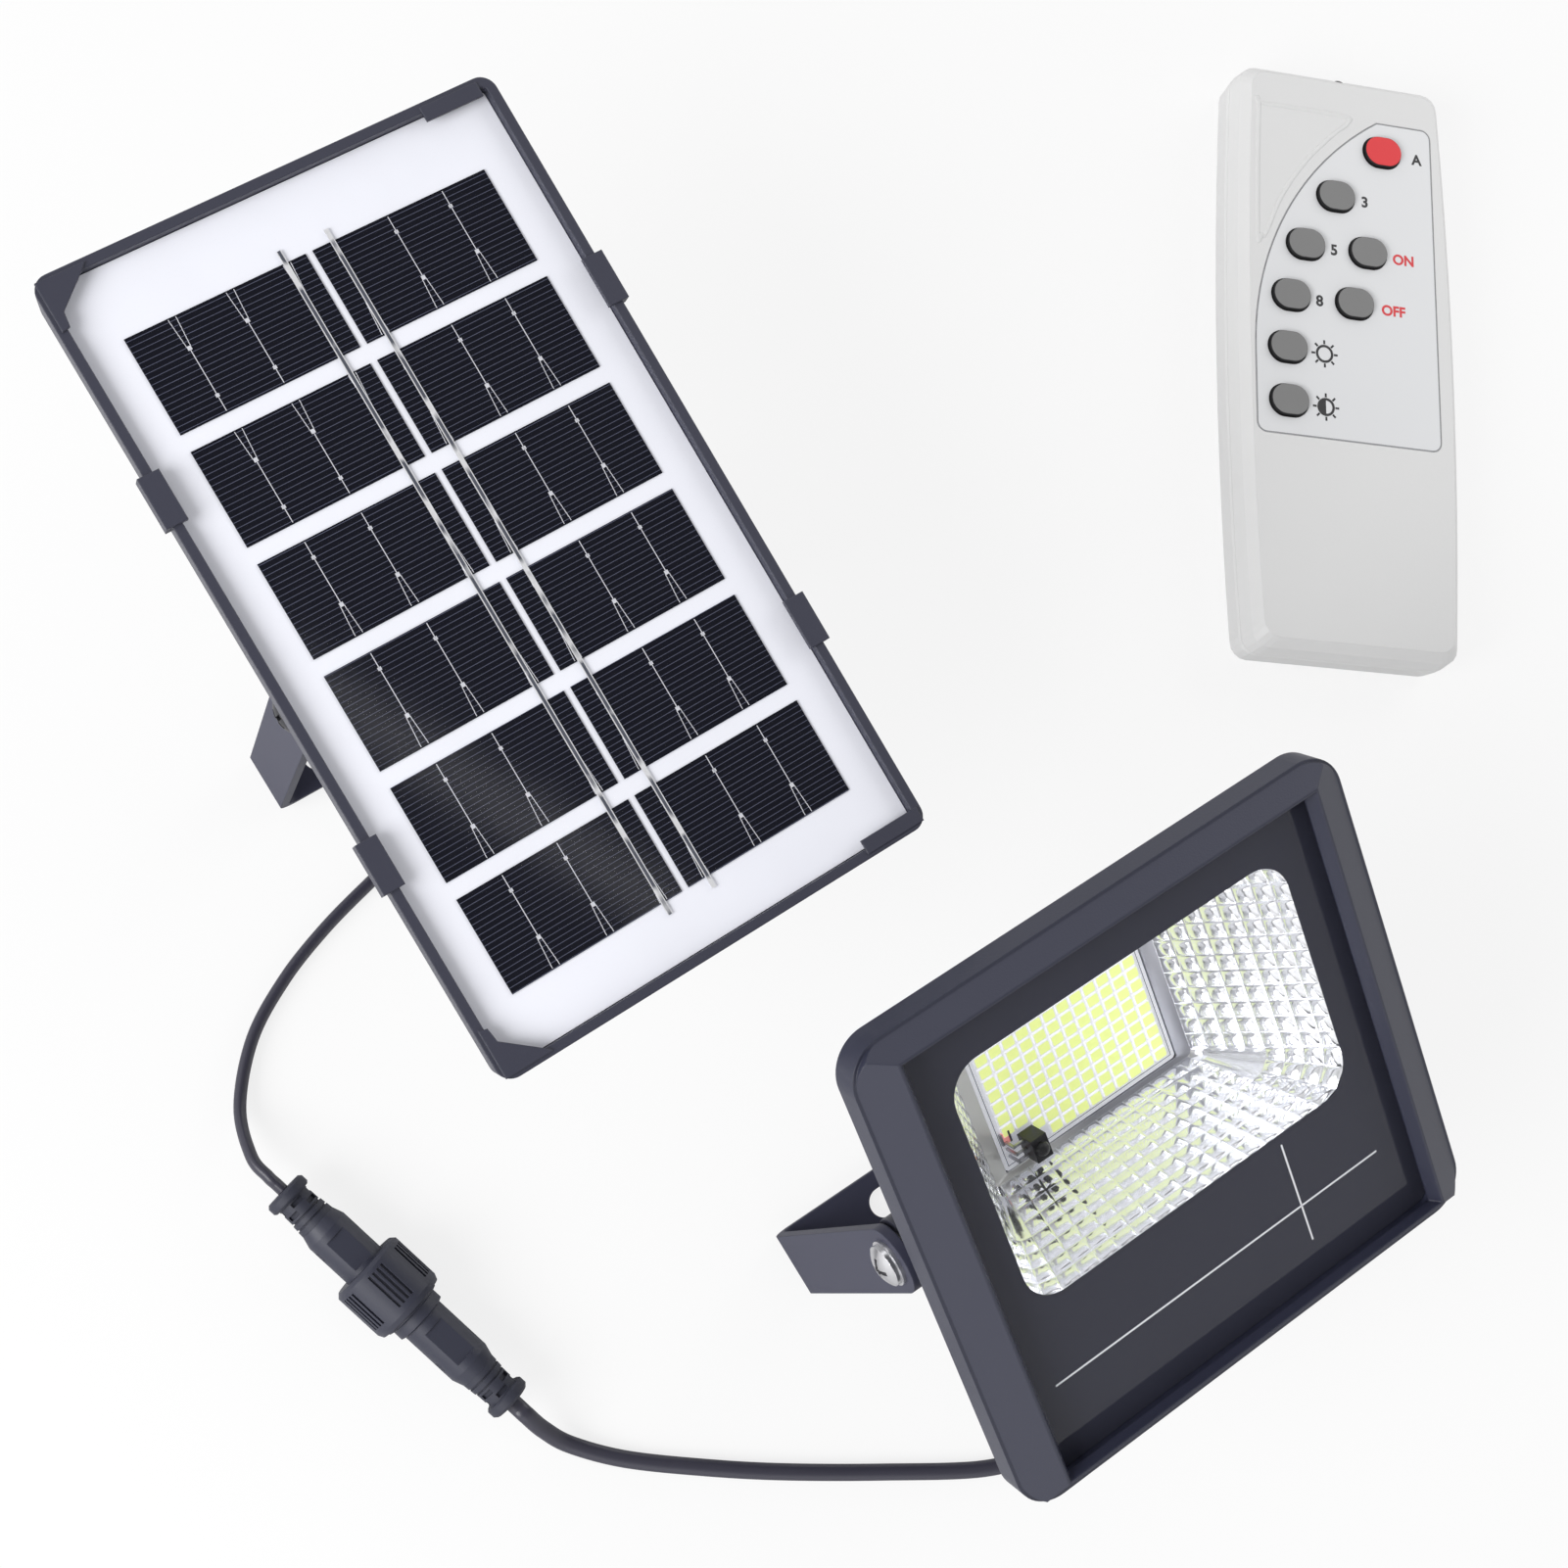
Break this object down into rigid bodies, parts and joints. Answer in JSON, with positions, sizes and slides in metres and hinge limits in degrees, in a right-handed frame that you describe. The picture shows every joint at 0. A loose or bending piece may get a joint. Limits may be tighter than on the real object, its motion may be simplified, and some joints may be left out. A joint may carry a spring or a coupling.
{
  "type": "solar flood light",
  "caption": "Solar flood light set: LED lamp head and solar panel, each tilting on a U bracket, joined by a lead with a screw-locked connector, with a hand remote.",
  "frame": {"origin": "centre of the middle hole of the lamp bracket, on the mounting face", "axes": "+X along both tilt axes, +Y from the lamp towards the panel, +Z away from the mounting face"},
  "size_m": [0.4625, 0.3577, 0.1342],
  "materials": {
    "black_plastic": "fine satin texture",
    "black_paint": "fine powder coat",
    "grey_paint": "fine powder coat",
    "zinc_steel": "bright zinc",
    "clear_glass": "polished",
    "black_ink": "gloss",
    "seal_rubber": "matt",
    "bright_reflector": "mirror",
    "white_board": "satin",
    "phosphor": "satin",
    "green_board": "satin",
    "white_sheet": "satin",
    "silicon": "satin",
    "tinned_copper": "bright",
    "cell_wrap": "gloss",
    "cord_rubber": "satin",
    "contact_brass": "bright",
    "white_plastic": "fine satin texture",
    "white_label": "satin",
    "grey_key": "matt",
    "red_key": "matt",
    "dark_lens": "gloss"
  },
  "bodies": {
    "base": {"lamp_bracket": "grey_paint", "panel_bracket": "grey_paint", "panel_lead_drop": "cord_rubber", "panel_lead": "cord_rubber", "lamp_lead": "cord_rubber", "lamp_lead_drop": "cord_rubber", "plug_boot": "seal_rubber", "plug_body": "black_plastic", "socket_body": "black_plastic", "socket_boot": "seal_rubber", "connector_seal": "seal_rubber", "connector_pins": "contact_brass", "remote_top": "white_plastic", "remote_bottom": "white_plastic", "remote_plate": "white_label", "remote_board": "green_board", "remote_cells": "cell_wrap", "remote_emitter": "dark_lens"},
    "lamp_head": {"lamp_bezel": "black_plastic", "lamp_glass": "clear_glass", "glass_print": "black_ink", "glass_seal": "seal_rubber", "reflector": "bright_reflector", "led_board": "white_board", "led_chips": "phosphor", "ir_receiver": "black_plastic", "lamp_housing": "black_paint", "lamp_battery": "cell_wrap", "control_board": "green_board", "lamp_gland": "black_plastic", "bezel_screws": "zinc_steel", "lamp_pivot_screws": "zinc_steel", "lamp_pivot_washers": "zinc_steel"},
    "panel_head": {"panel_frame": "black_plastic", "panel_glass": "clear_glass", "panel_backsheet": "white_sheet", "solar_cells": "silicon", "cell_ribbons": "tinned_copper", "panel_rear_pan": "black_plastic", "panel_junction_box": "black_plastic", "junction_box_screws": "zinc_steel", "panel_gland": "black_plastic", "panel_pivot_screws": "zinc_steel", "panel_pivot_washers": "zinc_steel", "panel_pivot_nuts": "zinc_steel"},
    "ring": {"coupling_ring": "black_plastic"},
    "battery_cover": {"remote_battery_cover": "white_plastic"},
    "key_auto": {"button_auto": "red_key"},
    "key_time_a": {"button_time_a": "grey_key"},
    "key_time_b": {"button_time_b": "grey_key"},
    "key_on": {"button_on": "grey_key"},
    "key_time_c": {"button_time_c": "grey_key"},
    "key_off": {"button_off": "grey_key"},
    "key_bright": {"button_bright": "grey_key"},
    "key_dim": {"button_dim": "grey_key"}
  },
  "joints": [
    {"name": "lamp_tilt", "type": "hinge", "parent": "base", "child": "lamp_head", "pos_m": [0, 0, 0.086], "axis": [1, 0, 0], "range_deg": [-116.5, 63.5], "deforming": ["lamp_lead_drop"]},
    {"name": "panel_tilt", "type": "hinge", "parent": "base", "child": "panel_head", "pos_m": [-0.069, 0.176, 0.085], "axis": [1, 0, 0], "range_deg": [-53, 57], "deforming": ["panel_lead_drop"]},
    {"name": "ring_turn", "type": "hinge", "parent": "base", "child": "ring", "pos_m": [-0.1705, 0.0857, 0.0101], "axis": [0.2706, -0.9627, 0], "continuous": true},
    {"name": "cover_slide", "type": "slide", "parent": "base", "child": "battery_cover", "axis": [-0.5592, -0.829, 0], "range_m": [0, 0.062]},
    {"name": "press_auto", "type": "slide", "parent": "base", "child": "key_auto", "axis": [0, 0, -1], "range_m": [0, 0.0009], "stiffness_N_per_m": 500, "springref_m": -0.0006},
    {"name": "press_time_a", "type": "slide", "parent": "base", "child": "key_time_a", "axis": [0, 0, -1], "range_m": [0, 0.0009], "stiffness_N_per_m": 500, "springref_m": -0.0006},
    {"name": "press_time_b", "type": "slide", "parent": "base", "child": "key_time_b", "axis": [0, 0, -1], "range_m": [0, 0.0009], "stiffness_N_per_m": 500, "springref_m": -0.0006},
    {"name": "press_on", "type": "slide", "parent": "base", "child": "key_on", "axis": [0, 0, -1], "range_m": [0, 0.0009], "stiffness_N_per_m": 500, "springref_m": -0.0006},
    {"name": "press_time_c", "type": "slide", "parent": "base", "child": "key_time_c", "axis": [0, 0, -1], "range_m": [0, 0.0009], "stiffness_N_per_m": 500, "springref_m": -0.0006},
    {"name": "press_off", "type": "slide", "parent": "base", "child": "key_off", "axis": [0, 0, -1], "range_m": [0, 0.0009], "stiffness_N_per_m": 500, "springref_m": -0.0006},
    {"name": "press_bright", "type": "slide", "parent": "base", "child": "key_bright", "axis": [0, 0, -1], "range_m": [0, 0.0009], "stiffness_N_per_m": 500, "springref_m": -0.0006},
    {"name": "press_dim", "type": "slide", "parent": "base", "child": "key_dim", "axis": [0, 0, -1], "range_m": [0, 0.0009], "stiffness_N_per_m": 500, "springref_m": -0.0006}
  ]
}
